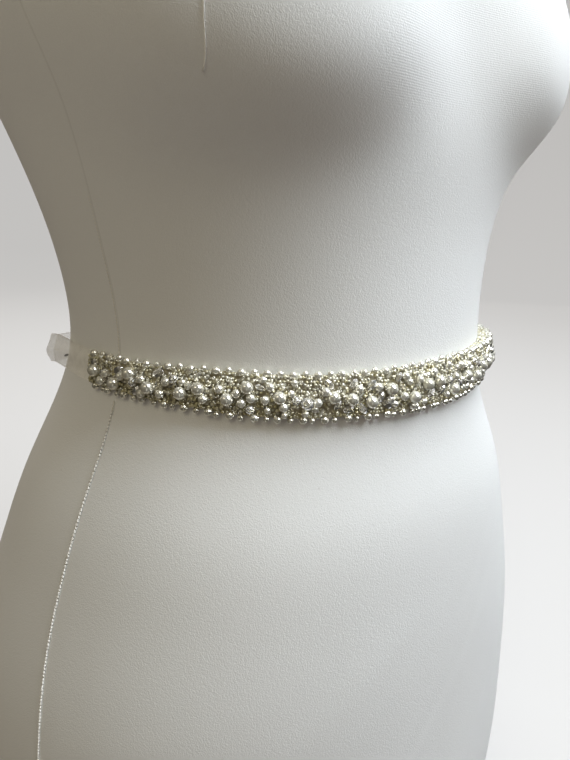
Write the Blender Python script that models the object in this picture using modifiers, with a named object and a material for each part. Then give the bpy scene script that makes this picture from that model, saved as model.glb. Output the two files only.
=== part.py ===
"""A beaded bridal sash tied round the waist of a plain, limbless dress form.

World frame in metres: +Z up, the origin under the middle of the form's flat bottom, the form's front
towards -Y and the wearer's right towards -X. An angle round the form is 0 at the centre front, a
quarter turn at the wearer's left and minus a quarter turn at the wearer's right.
"""
import math

import bpy
import numpy as np

MM = 0.001

# ---- the dress form ---------------------------------------------------------------------------
WAIST_HEIGHT = 290.0  # mm from the flat bottom up to the waist
# Sections of the form, in mm: height above the waist, half of the width, depth of the front and of
# the back from the form's axis, and the squareness of the outline (2 is an ellipse).
SECTIONS = np.array(
    [
        (-290, 160, 134, 106, 2.30),
        (-240, 168, 135, 117, 2.30),
        (-190, 171, 132, 123, 2.30),
        (-140, 165, 129, 120, 2.30),
        (-95, 152, 125, 110, 2.25),
        (-55, 138, 119, 99, 2.20),
        (-25, 123, 111, 92, 2.15),
        (0, 115, 108, 88, 2.10),
        (30, 116, 105, 88, 2.10),
        (70, 127, 103.5, 92, 2.15),
        (110, 142.5, 105, 98, 2.34),
        (150, 157, 101, 102, 2.42),
        (200, 155, 95, 104, 2.25),
        (250, 163, 88, 103, 2.25),
        (290, 165, 84, 98, 2.30),
        (322, 157, 78, 89, 2.30),
        (348, 134, 67, 79, 2.20),
        (368, 98, 58, 68, 2.10),
        (386, 68, 52, 58, 2.00),
        (406, 55, 49, 51, 2.00),
        (440, 52, 48, 48, 2.00),
    ],
    dtype=[(name, float) for name in ("height", "side", "front", "back", "squareness")],
)
BUST_HALF_SPACING = 107.0  # mm from the centre line to each mound's peak
BUST_HEIGHT = 144.0  # mm above the waist
BUST_DEPTH = 19.5
BUST_SPREAD_IN = 74.0  # mm over which a mound fades towards the centre line
BUST_SPREAD_OUT = 91.0  # and towards the side, upwards and downwards
BUST_SPREAD_UP = 57.0
BUST_SPREAD_DOWN = 42.5
BUST_FULLNESS = 1.55  # 1 is a bell, and more has a rounder top and a sharper foot
BUST_FACING = 2.2  # how soon a mound is whole, going from the side to the front
FORM_SIDES = 64
SHARP_EDGE = 40.0  # degrees, past which an edge is shaded as a corner
FORM_STEPS = (  # mm above the waist, from and to, and the spacing of the rings between
    (-290, -60, 21),
    (-60, 50, 10),
    (50, 440, 15),
)
FORM_EDGE = 3.0  # mm of rounding at the bottom and at the neck's top

# ---- the sash ---------------------------------------------------------------------------------
GAP = 0.5  # mm between two pieces that touch
STRIP_LENGTH = 355.0  # mm, from side seam to side seam round the front
# Along the strip: distance round the front (the wearer's right is minus), height of its middle above the
# waist, half of its width, and how far its upper edge leans off the form, all in mm.
STRIP_SHAPE = (
    (-180, 1.7, 7.7, 0.0),
    (-150, 2.1, 8.0, 0.0),
    (-125, 2.5, 8.9, 0.0),
    (-100, 1.9, 9.7, 0.0),
    (-75, 1.1, 9.9, 0.0),
    (-45, 0.9, 10.1, 0.0),
    (-20, 0.7, 10.6, 0.0),
    (5, 0.6, 10.9, 0.4),
    (30, 0.8, 10.7, 2.6),
    (50, 1.0, 10.5, 4.0),
    (68, 1.0, 10.4, 3.4),
    (100, 1.0, 10.1, 0.3),
    (130, 1.2, 9.5, 0.0),
    (155, 1.5, 8.4, 0.0),
    (180, 1.7, 7.8, 0.0),
)
STRIP_LEAN_POWER = 1.5  # 1 leans evenly from the lower edge up, and more leans near the upper edge
STRIP_CORNER = 4.0  # mm, radius of the strip's corners
STRIP_CORNER_SHARE = 0.96  # of a whole quarter round, so that the end keeps a short straight edge
STRIP_EDGE_DEPTH = 2.0  # mm that the strip stands off the form along its edges
STRIP_CROWN_DEPTH = 4.0  # mm along its middle, under the large pearls
STRIP_CROWN_POWER = 0.7  # 1 is a parabola across the strip, and less is flatter on top
STRIP_COLUMN = 1.6  # mm between columns of the strip's mesh
STRIP_ROWS = 12

PEARL_SEED = 11
# Large beads: diameter in mm, how many are tried, the share of the strip's half width they keep to.
LARGE_BEADS = ((5.5, 34, 0.50), (3.9, 118, 0.74))
BEAD_CLEARANCE = 0.88  # of the sum of two radii, the least distance between two large beads
BEAD_SINK = 0.35  # of its radius, how far a large bead's centre lies above the strip's crown
BEAD_STEP = 0.618034  # of the strip's width, from one large bead to the next, wrapping round
BEAD_ORDER, BEAD_SCATTER = 0.6, 0.4  # how much of a bead's height is stepped and how much random
BEAD_JOSTLE = 2.5  # mm along the strip
BEAD_END = 1.3  # of its diameter, how far a large bead's middle stays from the strip's ends

WAIST_POINTS = 2881  # round the waist, to measure along it

RIBBON_WIDTH = 14.0
RIBBON_THICKNESS = 1.0
RIBBON_OVERLAP_GAP = 0.8  # mm between the strip's end and the ribbon's end
# The ribbon's way round the form: angle from the centre front in degrees, how far it stands off the form
# at its lower and its upper edge, and the height of its middle above the waist, in mm.
RIBBON_RIGHT = (
    (92, 0.4, 0.4, 1.9),
    (98, 0.8, 0.7, 2.1),
    (106, 3.0, 2.2, 2.2),
    (114, 7.4, 5.4, 1.5),
    (120, 10.8, 8.6, -0.7),
    (126, 11.2, 9.4, -3.8),
    (133, 7.6, 7.2, -5.8),
    (142, 3.2, 3.4, -6.0),
    (152, 1.1, 1.2, -4.8),
    (163, 0.5, 0.5, -2.6),
    (173, 0.9, 0.9, -1.0),
)
RIBBON_LEFT = (
    (92, 0.4, 0.4, 1.8),
    (102, 1.2, 0.9, 1.8),
    (112, 3.2, 2.4, 1.0),
    (122, 4.0, 3.4, -0.8),
    (132, 3.0, 3.0, -2.4),
    (143, 1.4, 1.6, -3.2),
    (153, 0.7, 0.7, -2.8),
    (163, 0.5, 0.5, -1.8),
    (173, 0.9, 0.9, -1.0),
)
RIBBON_COLUMNS = 32
RIBBON_ROWS = 3

KNOT_SIZE = (15.0, 8.0, 17.0)  # mm: width, depth and height
KNOT_STAND_OFF = 4.95  # mm from the form's back to the knot's middle
KNOT_SWELL = 1.32  # how much larger the box is that smoothing rounds off to the knot's size
TAIL_LENGTH = {"tail_right": 185.0, "tail_left": 170.0}  # mm
TAIL_COLUMNS = 26
TAIL_INSET = 0.8  # mm from the centre back to a tail's inner edge at the knot
TAIL_SPREAD = 15.0  # mm that the tail's lower end swings out
TAIL_SPREAD_POWER = 1.3  # 1 is straight, and more swings out lower down
TAIL_GATHER = 0.45  # of its width, how wide a tail is at the knot
TAIL_GATHER_LENGTH = 34.0  # mm over which it opens out
TAIL_WAVE = 1.6  # mm, the height of the soft waves along a tail
TAIL_WAVE_LENGTH = 62.0


def spline(name, height):
    """One column of SECTIONS at any heights: the cubic through all rows whose curvature is smooth."""
    z, v = SECTIONS["height"], SECTIONS[name]
    step, rise = np.diff(z), np.diff(v) / np.diff(z)
    n = len(z)
    system, right = np.zeros((n, n)), np.zeros(n)
    system[0, :2], right[0] = (2, 1), 3 * rise[0]
    system[-1, -2:], right[-1] = (1, 2), 3 * rise[-1]
    for i in range(1, n - 1):
        system[i, i - 1 : i + 2] = step[i], 2 * (step[i - 1] + step[i]), step[i - 1]
        right[i] = 3 * (rise[i - 1] * step[i] + rise[i] * step[i - 1])
    slope = np.linalg.solve(system, right)
    i = np.clip(np.searchsorted(z, height, side="right") - 1, 0, n - 2)
    h = step[i]
    t = (height - z[i]) / h
    return (
        v[i] * (1 + 2 * t) * (1 - t) ** 2
        + v[i + 1] * t**2 * (3 - 2 * t)
        + h * slope[i] * t * (1 - t) ** 2
        - h * slope[i + 1] * t**2 * (1 - t)
    )


def form_surface(angle, height):
    """Points of the form's skin in mm from the middle of the waist: a squared ellipse at each height,
    with two rounded mounds added to the front."""
    angle, height = np.broadcast_arrays(np.asarray(angle, float), np.asarray(height, float))
    side, front, back = (spline(name, height) for name in ("side", "front", "back"))
    power = 2 / spline("squareness", height)
    sine, cosine = np.sin(angle), np.cos(angle)
    x = side * np.sign(sine) * np.abs(sine) ** power
    y = -np.where(cosine > 0, front, back) * np.sign(cosine) * np.abs(cosine) ** power
    sideways, upwards = np.abs(x) - BUST_HALF_SPACING, height - BUST_HEIGHT
    sideways = sideways / np.where(sideways > 0, BUST_SPREAD_OUT, BUST_SPREAD_IN)
    upwards = upwards / np.where(upwards > 0, BUST_SPREAD_UP, BUST_SPREAD_DOWN)
    mound = np.exp(-((sideways**2 + upwards**2) ** BUST_FULLNESS))
    facing = np.clip(BUST_FACING * cosine, 0, 1)
    y = y - BUST_DEPTH * mound * facing**2 * (3 - 2 * facing)
    return np.stack([x, y, height], -1)


def form_normal(angle, height):
    """Unit normals of the skin, pointing out, from small steps round it and up it."""
    turn, lift = 0.01, 1.0
    along = form_surface(angle + turn, height) - form_surface(angle - turn, height)
    up = form_surface(angle, height + lift) - form_surface(angle, height - lift)
    normal = np.cross(along, up)
    return normal / np.linalg.norm(normal, axis=-1, keepdims=True)


def smooth_table(rows, at):
    """The columns of a short table after its first, at any values of the first: cubics that meet with
    the slope of the rows on either side."""
    table, at = np.array(rows, float), np.asarray(at, float)
    i = np.clip(np.searchsorted(table[:, 0], at) - 1, 0, len(table) - 2)
    slope = np.gradient(table[:, 1:], table[:, 0], axis=0)
    h = (table[i + 1, 0] - table[i, 0])[..., None]
    t = (at[..., None] - table[i, :1]) / h
    return (
        table[i, 1:] * (1 + 2 * t) * (1 - t) ** 2
        + table[i + 1, 1:] * t**2 * (3 - 2 * t)
        + h * slope[i] * t * (1 - t) ** 2
        - h * slope[i + 1] * t**2 * (1 - t)
    )


def waist_angles():
    """Angles round the front of the waist, and the length of the waist line up to each of them."""
    angles = np.linspace(-math.pi, math.pi, WAIST_POINTS)
    line = form_surface(angles, 0.0)
    length = np.concatenate([[0], np.cumsum(np.linalg.norm(np.diff(line, axis=0), axis=1))])
    return angles, length - np.interp(0.0, angles, length)


def angle_at(distance):
    """The angle at a distance in mm round the waist from the centre front, left being positive."""
    angles, length = waist_angles()
    return np.interp(distance, length, angles)


def stand_off(angle, height, depth):
    """Points that stand level out from the skin by a depth in mm, at unchanged height."""
    out = form_normal(angle, height)
    out[..., 2] = 0
    out /= np.linalg.norm(out, axis=-1, keepdims=True)
    return form_surface(angle, height) + out * np.asarray(depth)[..., None]


def to_world(points):
    """From mm about the middle of the waist to the part's frame in metres."""
    return (points + np.array([0, 0, WAIST_HEIGHT])) * MM


def bead_layout():
    """Where the large beads sit: distance round the front and height from the strip's middle, in mm,
    and diameter. Random places in a fixed order, each kept if it is clear of the beads before it."""
    random = np.random.default_rng(PEARL_SEED)
    beads = []
    for diameter, tries, share in LARGE_BEADS:
        reach = STRIP_LENGTH / 2 - BEAD_END * diameter - BEAD_JOSTLE
        for row, start in enumerate(np.linspace(-reach, reach, tries), 1):
            place = (row * BEAD_STEP) % 1 * 2 - 1
            distance = start + random.uniform(-BEAD_JOSTLE, BEAD_JOSTLE)
            place = BEAD_ORDER * place + BEAD_SCATTER * random.uniform(-1, 1)
            height = share * half_width(distance) * place
            clear = all(
                math.hypot(distance - x, height - z) > BEAD_CLEARANCE * (diameter + d) / 2
                for x, z, d in beads
            )
            if clear:
                beads.append((distance, height, diameter))
    return beads


def strip_shape(distance):
    """Height of the strip's middle, half of its width and its lean at a distance round the front."""
    return smooth_table(STRIP_SHAPE, distance)


def half_width(distance):
    """Half of the strip's width in mm at a distance from the centre front, with round corners."""
    half = strip_shape(distance)[..., 1]
    from_end = STRIP_LENGTH / 2 - np.abs(distance)
    corner = np.clip(1 - from_end / STRIP_CORNER, 0, 1)
    return half - STRIP_CORNER * (1 - np.sqrt(1 - STRIP_CORNER_SHARE * corner**2))


def crown(across):
    """How far the strip stands off the form, from its edge (-1 or 1) over its middle (0), in mm."""
    rise = (1 - np.asarray(across) ** 2) ** STRIP_CROWN_POWER
    return STRIP_EDGE_DEPTH + (STRIP_CROWN_DEPTH - STRIP_EDGE_DEPTH) * rise


def on_strip(distance, height, depth):
    """Points by their distance round the front and height from the strip's middle, a depth in mm out
    from the strip's back, which leans off the form towards its upper edge."""
    middle, half, lean = np.moveaxis(strip_shape(distance), -1, 0)
    raised = np.clip((1 + height / half) / 2, 0, 1) ** STRIP_LEAN_POWER
    return stand_off(angle_at(distance), height + middle, GAP + lean * raised + depth)


def strip_depth(distance, height, across, beads):
    """The strip's outer surface: its crown, with a dome wherever a large bead is."""
    depth = crown(across)
    for x, z, diameter in beads:
        radius = diameter / 2
        centre = crown(z / half_width(x)) + BEAD_SINK * radius
        inside = radius**2 - (distance - x) ** 2 - (height - z) ** 2
        depth = np.where(inside > 0, np.maximum(depth, centre + np.sqrt(np.maximum(inside, 0))), depth)
    return depth


def material(name, colour, roughness, metallic=0.0):
    made = bpy.data.materials.new(name)
    made.use_nodes = True
    shader = made.node_tree.nodes["Principled BSDF"]
    shader.inputs["Base Color"].default_value = (*colour, 1)
    shader.inputs["Roughness"].default_value = roughness
    shader.inputs["Metallic"].default_value = metallic
    return made


def new_object(name, mesh, finish, collection):
    thing = bpy.data.objects.new(name, mesh)
    mesh.materials.append(finish)
    mesh.shade_smooth()
    mesh.set_sharp_from_angle(angle=math.radians(SHARP_EDGE))
    collection.objects.link(thing)
    return thing


def grid_faces(columns, rows, wrap=False):
    """Quads between neighbours of a grid of points, whose first index runs along the columns."""
    last = columns if wrap else columns - 1
    return [
        (
            i * rows + j,
            (i + 1) % columns * rows + j,
            (i + 1) % columns * rows + j + 1,
            i * rows + j + 1,
        )
        for i in range(last)
        for j in range(rows - 1)
    ]


def mesh_of(name, points, faces):
    mesh = bpy.data.meshes.new(name)
    mesh.from_pydata([tuple(p) for p in np.reshape(points, (-1, 3))], [], faces)
    mesh.validate()
    return mesh


def make_dress_form(finish, collection):
    """Rings of the form's skin, from its flat bottom to the flat top of its neck."""
    heights = np.concatenate([np.arange(*part) for part in FORM_STEPS])
    bottom, top = SECTIONS["height"][0], SECTIONS["height"][-1]
    heights = heights[(heights > bottom + FORM_EDGE) & (heights < top - FORM_EDGE)]
    heights = np.concatenate([[bottom, bottom + FORM_EDGE], heights, [top - FORM_EDGE, top]])
    angles = np.linspace(-math.pi, math.pi, FORM_SIDES, endpoint=False)
    rings = form_surface(angles[:, None], heights[None, :])
    for ring in (0, -1):
        radius = np.linalg.norm(rings[:, ring, :2], axis=-1, keepdims=True)
        rings[:, ring, :2] *= 1 - FORM_EDGE / radius
    sides, levels = rings.shape[:2]
    faces = grid_faces(sides, levels, wrap=True)
    faces.append([i * levels for i in reversed(range(sides))])
    faces.append([i * levels + levels - 1 for i in range(sides)])
    new_object("dress_form", mesh_of("dress_form", to_world(rings), faces), finish, collection)


def make_bead_strip(finish, collection):
    """A wall round the front of the waist: a plain inside, and an outside raised where the large
    beads are."""
    columns = int(STRIP_LENGTH / STRIP_COLUMN) + 1
    distance = np.linspace(-STRIP_LENGTH / 2, STRIP_LENGTH / 2, columns)[:, None]
    across = np.linspace(-1, 1, STRIP_ROWS + 1)[None, :]
    height = across * half_width(distance)
    distance = distance + 0 * across
    outer = on_strip(distance, height, strip_depth(distance, height, across, bead_layout()))
    edge = [0, -1]
    inner = on_strip(distance[:, edge], height[:, edge], np.zeros((columns, 2)))
    loop = np.concatenate([inner[:, :1], outer, inner[:, 1:]], axis=1)
    rows = loop.shape[1]
    faces = grid_faces(columns, rows)
    for i in range(columns - 1):
        faces.append((i * rows + rows - 1, (i + 1) * rows + rows - 1, (i + 1) * rows, i * rows))
    faces.append(list(range(rows)))
    faces.append([(columns - 1) * rows + j for j in reversed(range(rows))])
    new_object("bead_strip", mesh_of("bead_strip", to_world(loop), faces), finish, collection)


def make_sheet(name, points, finish, collection):
    """A sheet of cloth through a grid of points, thickened on its outer side."""
    columns, rows = points.shape[:2]
    mesh = mesh_of(name, to_world(points), grid_faces(columns, rows))
    sheet = new_object(name, mesh, finish, collection)
    wall = sheet.modifiers.new("wall", "SOLIDIFY")
    wall.thickness = RIBBON_THICKNESS * MM
    wall.offset = 1
    wall.use_even_offset = True
    return sheet


def make_ribbon(name, route, side, finish, collection):
    """The ribbon from the strip's end to the knot; side is -1 on the wearer's right and 1 on the left."""
    start = abs(angle_at(STRIP_LENGTH / 2 + RIBBON_OVERLAP_GAP))
    degrees = np.linspace(math.degrees(start), route[-1][0], RIBBON_COLUMNS)
    low, high, middle = smooth_table(route, degrees).T
    low, high = np.maximum(low, GAP), np.maximum(high, GAP)
    across = np.linspace(0, 1, RIBBON_ROWS + 1)[None, :]
    depth = low[:, None] * (1 - across) + high[:, None] * across
    angle = side * np.radians(degrees)[:, None] + 0 * across
    height = middle[:, None] + (across - 0.5) * RIBBON_WIDTH
    points = stand_off(angle, height, depth)
    make_sheet(name, points if side > 0 else points[::-1], finish, collection)


def make_knot(finish, collection):
    """A plain overhand knot at the centre back: a soft lump."""
    bpy.ops.mesh.primitive_cube_add(size=1)
    knot = bpy.context.object
    knot.name = knot.data.name = "knot"
    back = form_surface(math.pi, 0.0)
    knot.location = to_world(back + np.array([0, KNOT_STAND_OFF, 0]))
    knot.scale = [KNOT_SWELL * size * MM for size in KNOT_SIZE]
    knot.data.materials.append(finish)
    knot.data.shade_smooth()
    for owner in list(knot.users_collection):
        owner.objects.unlink(knot)
    collection.objects.link(knot)
    round_off = knot.modifiers.new("round", "SUBSURF")
    round_off.levels = round_off.render_levels = 3


def make_tail(name, side, finish, collection):
    """A free end of the ribbon, hanging down the form's back from the knot, where it is gathered."""
    down = np.linspace(0, TAIL_LENGTH[name], TAIL_COLUMNS)
    height = -(KNOT_SIZE[2] / 2 + 1) - down
    inner = TAIL_INSET + TAIL_SPREAD * (down / TAIL_LENGTH[name]) ** TAIL_SPREAD_POWER
    opened = np.clip(down / TAIL_GATHER_LENGTH, 0, 1)
    width = RIBBON_WIDTH * (TAIL_GATHER + (1 - TAIL_GATHER) * opened**2 * (3 - 2 * opened))
    across = np.linspace(0, 1, RIBBON_ROWS + 1)
    x = inner[:, None] + width[:, None] * across
    half, power = (spline(column, height)[:, None] for column in ("side", "squareness"))
    angle = math.pi - side * np.arcsin((x / half) ** (power / 2))
    level = height[:, None] + 0 * angle
    wave = TAIL_WAVE * (1 - np.cos(2 * math.pi * down / TAIL_WAVE_LENGTH)) / 2
    depth = 2 * GAP + wave[:, None] + 0 * angle
    points = form_surface(angle, level) + form_normal(angle, level) * depth[..., None]
    make_sheet(name, points[::-1] if side > 0 else points, finish, collection)


def main():
    for thing in list(bpy.data.objects):
        bpy.data.objects.remove(thing, do_unlink=True)
    collection = bpy.data.collections.new("bridal_sash_on_form")
    bpy.context.scene.collection.children.link(collection)
    jersey = material("white_jersey", (0.86, 0.86, 0.84), 0.85)
    pearl = material("ivory_pearl", (0.78, 0.76, 0.68), 0.25, 0.15)
    organza = material("sheer_organza", (0.80, 0.78, 0.74), 0.5)
    make_dress_form(jersey, collection)
    make_bead_strip(pearl, collection)
    make_ribbon("ribbon_right", RIBBON_RIGHT, -1, organza, collection)
    make_ribbon("ribbon_left", RIBBON_LEFT, 1, organza, collection)
    make_knot(organza, collection)
    make_tail("tail_right", -1, organza, collection)
    make_tail("tail_left", 1, organza, collection)


main()
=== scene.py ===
"""A pearl and crystal bridal sash tied round the waist of a plain, jersey-covered dress form.

Frame in metres: +Z up, the origin under the middle of the form's flat bottom, the form's front towards
-Y and the wearer's right towards -X. Shapes are worked out in millimetres about the middle of the
waist. An angle round the form is 0 at the centre front and grows towards the wearer's left.
"""
import math

import bpy
import numpy as np
from mathutils import Matrix


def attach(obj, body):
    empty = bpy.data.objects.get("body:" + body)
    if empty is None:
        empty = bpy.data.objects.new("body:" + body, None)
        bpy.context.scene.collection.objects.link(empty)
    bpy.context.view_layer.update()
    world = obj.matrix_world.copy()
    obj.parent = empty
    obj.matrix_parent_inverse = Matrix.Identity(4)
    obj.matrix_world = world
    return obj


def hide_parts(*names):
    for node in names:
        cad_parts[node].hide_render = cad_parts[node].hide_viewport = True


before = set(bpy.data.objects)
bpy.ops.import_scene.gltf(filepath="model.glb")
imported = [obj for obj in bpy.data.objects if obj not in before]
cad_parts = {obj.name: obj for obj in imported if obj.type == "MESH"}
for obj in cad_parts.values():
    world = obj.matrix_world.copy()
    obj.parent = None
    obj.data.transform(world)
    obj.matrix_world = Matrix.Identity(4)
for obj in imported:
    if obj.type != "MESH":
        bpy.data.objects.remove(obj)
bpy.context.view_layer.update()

MM = 0.001
PICTURE = (570, 760)  # pixels wide and high

# ---- camera ----
CAMERA_AZIMUTH = -46.0  # degrees round the form from its centre front
CAMERA_DISTANCE = 400.0  # mm from the form's axis
CAMERA_HEIGHT = 92.0  # mm above the waist
CAMERA_YAW = -1.1  # degrees that it turns away from the axis
CAMERA_PITCH = 16.3  # degrees that it looks down
CAMERA_ROLL = 2.8  # degrees that it leans
CAMERA_FOCUS = 730.0  # focal length in pixels of the picture
CAMERA_CLIP = (0.01, 20)  # m
SENSOR = 36.0  # mm, the picture's longer side

# ---- the dress form, as its solid is made ----
WAIST_HEIGHT = 290.0  # mm from the flat bottom up to the waist
# Height above the waist, half of the width, depth of the front and of the back, squareness.
SECTIONS = np.array(
    [
        (-290, 160, 134, 106, 2.3), (-240, 168, 135, 117, 2.3), (-190, 171, 132, 123, 2.3),
        (-140, 165, 129, 120, 2.3), (-95, 152, 125, 110, 2.25), (-55, 138, 119, 99, 2.2),
        (-25, 123, 111, 92, 2.15), (0, 115, 108, 88, 2.1), (30, 116, 105, 88, 2.1),
        (70, 127, 103.5, 92, 2.15), (110, 142.5, 105, 98, 2.34), (150, 157, 101, 102, 2.42),
        (200, 155, 95, 104, 2.25), (250, 163, 88, 103, 2.25), (290, 165, 84, 98, 2.3),
        (322, 157, 78, 89, 2.3), (348, 134, 67, 79, 2.2), (368, 98, 58, 68, 2.1),
        (386, 68, 52, 58, 2.0), (406, 55, 49, 51, 2.0), (440, 52, 48, 48, 2.0),
    ],
    dtype=[(name, float) for name in ("height", "side", "front", "back", "squareness")],
)
BUST_HALF_SPACING = 107.0  # mm from the middle plane to each mound's middle
BUST_HEIGHT = 144.0  # mm above the waist
BUST_DEPTH = 19.5  # mm that a mound stands out
BUST_SPREAD_IN, BUST_SPREAD_OUT = 74.0, 91.0  # mm, its reach inwards and outwards
BUST_SPREAD_UP, BUST_SPREAD_DOWN = 57.0, 42.5  # mm, its reach up and down
BUST_FULLNESS = 1.55  # 1 is a plain bell, and more is flatter on top
BUST_FACING = 2.2  # how fast it reaches its full depth from the side to the front
FORM_EDGE = 3.0  # mm, the rounding of its bottom and top edges

COVER_COLUMNS = 216  # round the form, before those of the seams
COVER_STEP = 3.2  # mm between rings of the cover
COVER_EDGE_RINGS = 5  # of each rounded edge
COVER_RADIUS = 0.13  # m, which turns an angle into cloth
COVER_SHARP = 50  # degrees between two faces, from which their edge stays sharp
# The side seam's way up the cover: height above the waist and degrees from the centre front.
SEAM_ROUTE = (
    (-290, 77.5), (-160, 79.3), (-105, 81.5), (-58, 81.1), (0, 81.4), (50, 80.9),
    (93, 80.1), (118, 81.0), (145, 82.8), (220, 87.0), (330, 90.0), (440, 90.0),
)
SEAM_DEGREE = 2.15  # mm round the form to one degree, near the seam
SEAM_CLEAR = 0.6  # degrees beside the seam that hold no other column
SEAM_FADE = (12, 45)  # degrees from the seam over which the columns stop leaning with it
SEAM_END = (20, 60)  # mm below the top over which it is raised more and more
SEAM_LOW = (0.45, -20, 30)  # the share that it is lower above the waist, and between which heights
SEAM_DITCH_SHADE = (0.4, -16, 0)  # painted shade: the share by which its ditch is darkened more there, and between which heights
# Across the seam, towards the front: mm from the seam line, and how far the cover is raised. The
# allowance lies behind the seam, and a fine ditch in front of it.
SEAM_PROFILE = (
    (-18.0, 0.0), (-14.0, 0.1), (-10.5, 0.14), (-9.0, 0.34), (-5.0, 0.4), (-1.6, 0.66), (-0.7, 0.86),
    (0.0, 0.86), (0.6, 0.58), (1.1, 0.54), (1.8, 0.58), (4.0, 0.52), (10.0, 0.22), (18.0, 0.0),
)
# Faint drag lines over the belly: degrees and height of the middle, slope in mm a degree, half of the
# width in mm, half of the length in degrees, rise in mm.
CREASES = (
    (-6.0, -176.0, 3.4, 5.0, 16.0, 0.5),
    (4.0, -110.0, 2.4, 6.0, 14.0, 0.35),
    (-14.0, -120.0, 1.6, 7.0, 18.0, 0.3),
    (9.0, -200.0, 3.0, 7.0, 14.0, 0.35),
)
COURSE = 0.0009  # m, from one level row of the jersey's stitches to the next
# Where the jersey is stretched between the mounds of the chest: from the middle, and heights, in mm.
TAUT_WIDTH, TAUT_BELOW, TAUT_ABOVE = (45, 85), (108, 128), (175, 205)
STITCH_PITCH = 1.45  # mm between the twists of the thread that closes the seam
STITCH_SIZE = (2.7, 1.0, 0.95)  # mm long, wide and thick
STITCH_SLANT = 24.0  # degrees
STITCH_STAND = 0.29  # mm that the stitches' middles stand off the seam's ridge
STITCHED = ((-286.0, -9.5), (12.0, 78.0))  # mm above the waist, below and above the strip
# Height above the waist, and the share of their full size that the stitches have there.
STITCH_FADE = ((-40.0, 1.0), (-9.5, 0.65), (12.0, 0.6), (78.0, 0.3))

# The loose thread on the front: height above the waist and degrees from the centre front.
LOOSE_THREAD = (
    (120.2, -54.3), (122.2, -54.0), (124.1, -53.76), (135.6, -52.88), (139.7, -52.44),
    (160, -51.2), (200, -49.6), (260, -48.6), (330, -48.0),
)
LOOSE_THREAD_RADIUS = 0.24  # mm
LOOSE_THREAD_STAND = 1.2  # radii from the skin to its middle
LOOSE_THREAD_GRID = (120, 8)  # points along and round it

# ---- the sash ----
GAP = 0.5  # mm between the form and the strip's back
STRIP_LENGTH = 355.0  # mm
# Along the strip: distance round the front (the wearer's right is minus), height of its middle above the
# waist, half of its width, and how far its upper edge leans off the form, all in mm.
STRIP_SHAPE = (
    (-180, 1.7, 7.7, 0), (-150, 2.1, 8.0, 0), (-125, 2.5, 8.9, 0), (-100, 1.9, 9.7, 0),
    (-75, 1.1, 9.9, 0), (-45, 0.9, 10.1, 0), (-20, 0.7, 10.6, 0), (5, 0.6, 10.9, 0.4),
    (30, 0.8, 10.7, 2.6), (50, 1.0, 10.5, 4.0), (68, 1.0, 10.4, 3.4), (100, 1.0, 10.1, 0.3),
    (130, 1.2, 9.5, 0), (155, 1.5, 8.4, 0), (180, 1.7, 7.8, 0),
)
STRIP_LEAN_POWER = 1.5  # 1 leans evenly from the lower edge up, and more leans near the upper edge
STRIP_CORNER = 4.0  # mm, the rounding of its corners
STRIP_CORNER_SHARE = 0.96  # of a full round, so that the ends stay a little blunt
STRIP_EDGE_DEPTH = 2.0  # mm from its back to its outside, at its edges
STRIP_CROWN_DEPTH = 4.0  # and in its middle
STRIP_CROWN_POWER = 0.7  # 1 is a parabola across it, and less is flatter in the middle
LARGE_BEADS = ((5.5, 34, 0.50), (3.9, 118, 0.74))  # diameter, tries, share of the width
BEAD_CLEARANCE = 0.88  # of two beads' radii, how near their middles may come
BEAD_SINK = 0.35  # of a bead's radius, how far its middle stands off the crown
BEAD_STEP = 0.618034  # of the width, from one bead to the next, so that they spread evenly
BEAD_ORDER, BEAD_SCATTER = 0.6, 0.4  # the shares of that order and of chance
BEAD_JOSTLE = 2.5  # mm that chance moves a bead along
BEAD_END = 1.3  # diameters, the least from a bead's middle to the strip's end
LARGE_FROM = 4.5  # mm, the diameter that parts large pearls from medium ones
# Beads are numbered from 0, large ones first. Clear are this large one, and those medium ones whose
# number leaves this rest when it is divided: the divisor and the rest.
CLEAR_LARGE, CLEAR_MEDIUM = 9, (5, 2)
# The seeds of the random draws.
PEARL_SEED, PEARL_TURN_SEED, EDGE_SEED, EDGE_TURN_SEED = 11, 5, 8, 9
SMALL_PEARL_SEED, LONG_BEAD_SEED, SEED_BEAD_SEED = 13, 21, 31

NET_HEIGHT = 0.62  # of the strip's crown, how high the net backing stands under the beads
NET_INSET = 1.1  # mm that the net stays inside the strip's edge
NET_GRID = (241, 13)  # points along and across its outside
NET_ROW = 0.0016  # m of net from one of its rows to the next

# Diameter, spacing and offset of each kind along an edge, in mm.
EDGE_BEADS_TOP = ((3.5, 10.4, 0.0), (2.6, 10.4, 5.2))
EDGE_BEADS_BOTTOM = ((3.5, 9.6, 2.0), (2.6, 9.6, 6.6))
EDGE_START, EDGE_STOP = 4, 3  # mm from the strip's ends to where they start and stop
EDGE_OVERHANG = (1.15, 1.15)  # mm that the edge beads stand out past the strip's lower and upper edge
EDGE_LOOSE = (0.9, 0.25)  # mm that chance moves them along the lower and the upper edge
EDGE_SWAY = 0.15  # mm that it moves them across

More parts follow.
